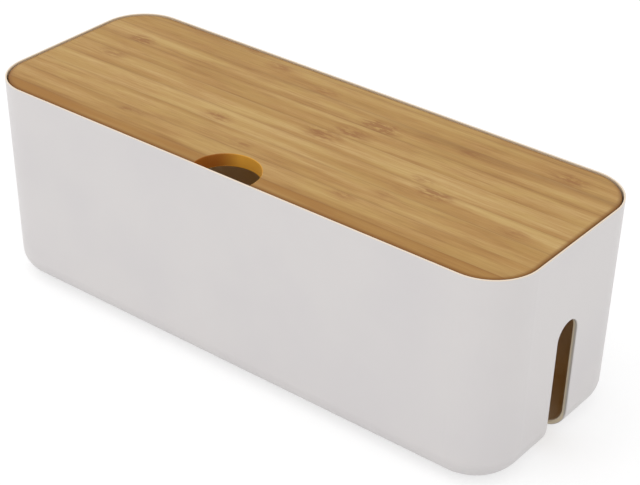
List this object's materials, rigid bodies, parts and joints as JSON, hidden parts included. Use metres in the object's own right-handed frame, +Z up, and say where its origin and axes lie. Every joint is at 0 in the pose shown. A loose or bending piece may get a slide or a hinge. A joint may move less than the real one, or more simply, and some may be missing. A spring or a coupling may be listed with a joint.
{
  "type": "cable management box",
  "caption": "Long white box that hides a power strip and its leads, with a cable slot in each end and a lift-off bamboo lid with a finger notch.",
  "frame": {"origin": "on the table under the middle of the box, at the pads' undersides", "axes": "+X along the box's length, to the right seen from the front; +Y towards the back; the lid's finger notch is at the front, towards -Y; +Z up"},
  "size_m": [0.38, 0.138, 0.136],
  "materials": {
    "white_plastic": "fine satin moulded white plastic",
    "bamboo": "clear-oiled edge-glued bamboo, grain along the length",
    "pad_rubber": "matt grey anti-slip pad"
  },
  "bodies": {
    "box": {"box_shell": "white_plastic", "foot_front_left": "pad_rubber", "foot_front_right": "pad_rubber", "foot_back_left": "pad_rubber", "foot_back_right": "pad_rubber"},
    "lid": {"lid_strip_1": "bamboo", "lid_strip_2": "bamboo", "lid_strip_3": "bamboo", "lid_strip_4": "bamboo", "lid_strip_5": "bamboo", "lid_strip_6": "bamboo", "lid_strip_7": "bamboo", "lid_strip_8": "bamboo", "lid_strip_9": "bamboo"}
  },
  "joints": [
    {"name": "lid_lift", "type": "slide", "parent": "box", "child": "lid", "axis": [0, 0, 1], "range_m": [0, 0.1]}
  ]
}
